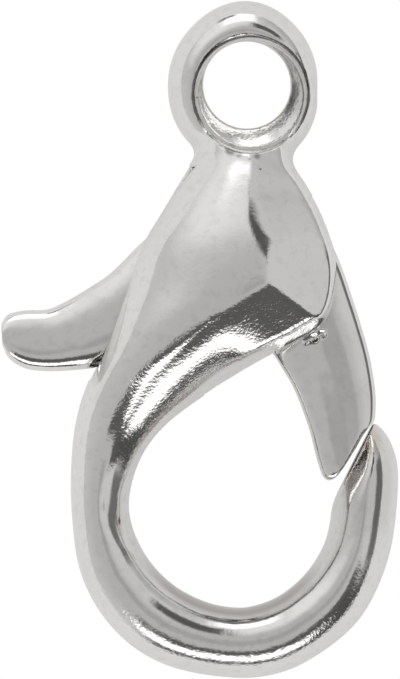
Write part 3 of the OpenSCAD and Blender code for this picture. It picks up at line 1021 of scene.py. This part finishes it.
def floor_white():
    """White that the camera sees as the plain backdrop, and that glows less on the metal."""
    material, sums, shader = new_material("floor_white", 0)
    sums.feed(shader.inputs["Base Color"], FLOOR_WHITE)
    sums.feed(shader.inputs["Roughness"], 0.9)
    glow = sums.node("ShaderNodeEmission", ((1, 1, 1), 1.0)).outputs[0]
    share = sums.blend(sums.seen(), FLOOR_GLOW, 1.0)
    mixed = sums.node("ShaderNodeMixShader", (share, shader.outputs[0], glow)).outputs[0]
    sums.feed(material.node_tree.nodes["Material Output"].inputs["Surface"], mixed)
    return material


# The four pieces, each in the place of its solid

silver = silver_plate("silver_plate", pebbles=1.0, stains_and_shade=True)
smooth_silver = silver_plate("silver_plate_lever", pebbles=0.4, stains_and_shade=False)
body_mesh = surface(body_distance, *BODY_BOX, BODY_PITCH)
lever_mesh = surface(lever_distance, *LEVER_BOX, LEVER_PITCH)
for name, mesh, material, body, node, slot in (
    ("clasp_body", body_mesh, silver, "clasp", "hook_body", "silver_plate"),
    ("clasp_lever", lever_mesh, smooth_silver, "lever", "lever", "silver_plate"),
    ("clasp_pin", pin_mesh(), pin_steel(), "clasp", "pivot_pin", "pin_steel"),
):
    piece = make(name, *mesh, material)
    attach(piece, body)
    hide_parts(node)

# The coil, its place baked into its corners; it is attached to neither the body nor the lever
coil = make("clasp_spring", *spring_mesh(), spring_steel())
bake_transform(coil)
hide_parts("spring")

# The camera, straight above as in the photograph

camera_data = bpy.data.cameras.new("camera")
camera_data.lens = camera_data.sensor_width * (CAMERA_UP - MID_Z) / FRAME_H
camera_data.clip_start = 0.01
camera_data.clip_end = 10
camera = bpy.data.objects.new("camera", camera_data)
camera.location = (0, 0, CAMERA_UP * MM)
bpy.context.scene.collection.objects.link(camera)
bpy.context.scene.camera = camera

# The floor, in metres: half its width, and how far it lies below the clasp

FLOOR = 0.6
FLOOR_DROP = 0.00001
floor_mesh = bpy.data.meshes.new("floor")
floor_corners = [(-FLOOR, -FLOOR, 0), (FLOOR, -FLOOR, 0), (FLOOR, FLOOR, 0), (-FLOOR, FLOOR, 0)]
floor_mesh.from_pydata(floor_corners, [], [(0, 1, 2, 3)])
floor_mesh.materials.append(floor_white())
floor = bpy.data.objects.new("floor", floor_mesh)
floor.location = (0, 0, -FLOOR_DROP)
bpy.context.scene.collection.objects.link(floor)


# The light, a soft room round the clasp

def towards(azimuth, polar):
    """The unit vector of a direction."""
    a, p = math.radians(azimuth), math.radians(polar)
    return math.sin(p) * math.cos(a), math.sin(p) * math.sin(a), math.cos(p)


class Sky(Sums):
    """Arithmetic on the direction of the light: its azimuth and its angle from straight up, in degrees."""

    def __init__(self, tree):
        super().__init__(tree)
        self.look = self.coordinates("Generated")
        axes = self.axes(self.look)
        self.azimuth = self.degrees(self.math("ARCTAN2", axes["Y"], axes["X"]))
        self.polar = self.degrees(self.math("ARCCOSINE", axes["Z"]))

    def degrees(self, angle):
        """An angle in degrees instead of radians."""
        return self.math("MULTIPLY", angle, 180 / math.pi)

    def between(self, value, low, high, soft):
        """1 from low to high, with soft ends."""
        rise = self.step(value, low - soft, low + soft)
        fall = self.step(value, high - soft, high + soft)
        return self.math("SUBTRACT", rise, fall)

    def window(self, left, right, top, bottom, soft):
        """1 inside a stretch of the sky between two azimuths and two angles from straight up."""
        return self.math("MULTIPLY", self.between(self.azimuth, left, right, soft),
                         self.between(self.polar, top, bottom, soft))

    def disc(self, azimuth, polar, radius, soft):
        """1 inside a soft-edged round patch of the sky."""
        near = math.cos(math.radians(max(radius - soft, 0)))
        far = math.cos(math.radians(radius + soft))
        return self.step(self.dot(self.look, towards(azimuth, polar)), far, near)


world = bpy.data.worlds.new("studio")
bpy.context.scene.world = world
world.use_nodes = True
sky = Sky(world.node_tree)
overhead, horizon = 0.45, 0.53
light = sky.blend(sky.step(sky.polar, 15, 90), overhead, horizon)
for patch, level in (
    # Soft light from the upper left and from the right, over a duller and a dark stretch lower down
    (sky.disc(116, 60, 28, 18), 0.76),
    (sky.disc(18, 48, 34, 12), 0.57),
    (sky.disc(42, 90, 20, 14), 0.42),
    (sky.window(-20, 28, 58, 89, 6), 0.15),
    # The dark front of the room with a bright strip across it, which shows in the roll and round the hook
    (sky.window(-124, -20, 74, 100, 3), 0.075),
    (sky.window(-128, -22, 22, 47, 4), 0.095),
    (sky.window(-130, -54, 48, 73, 2), 1.45),
    (sky.window(-54, -24, 40, 80, 3), 0.075),
    # The bright window at the back, and the dark bar beside it, which draws the line along the tab
    (sky.window(80, 112, 58, 96, 8), 1.35),
    (sky.window(101, 117, 83, 92, 3), 0.10),
    # The dark patch that shows at the shoulder's crest, and the camera
    (sky.window(48, 84, 22, 50, 5), 0.09),
    (sky.disc(0, 0, 4, 4), 0.36),
):
    light = sky.blend(patch, light, level)
background = world.node_tree.nodes["Background"]
sky.feed(background.inputs["Strength"], sky.blend(sky.seen(), light, 1.0))
sky.feed(background.inputs["Color"], LAMP_WHITE)

bpy.context.scene.view_settings.view_transform = "Standard"
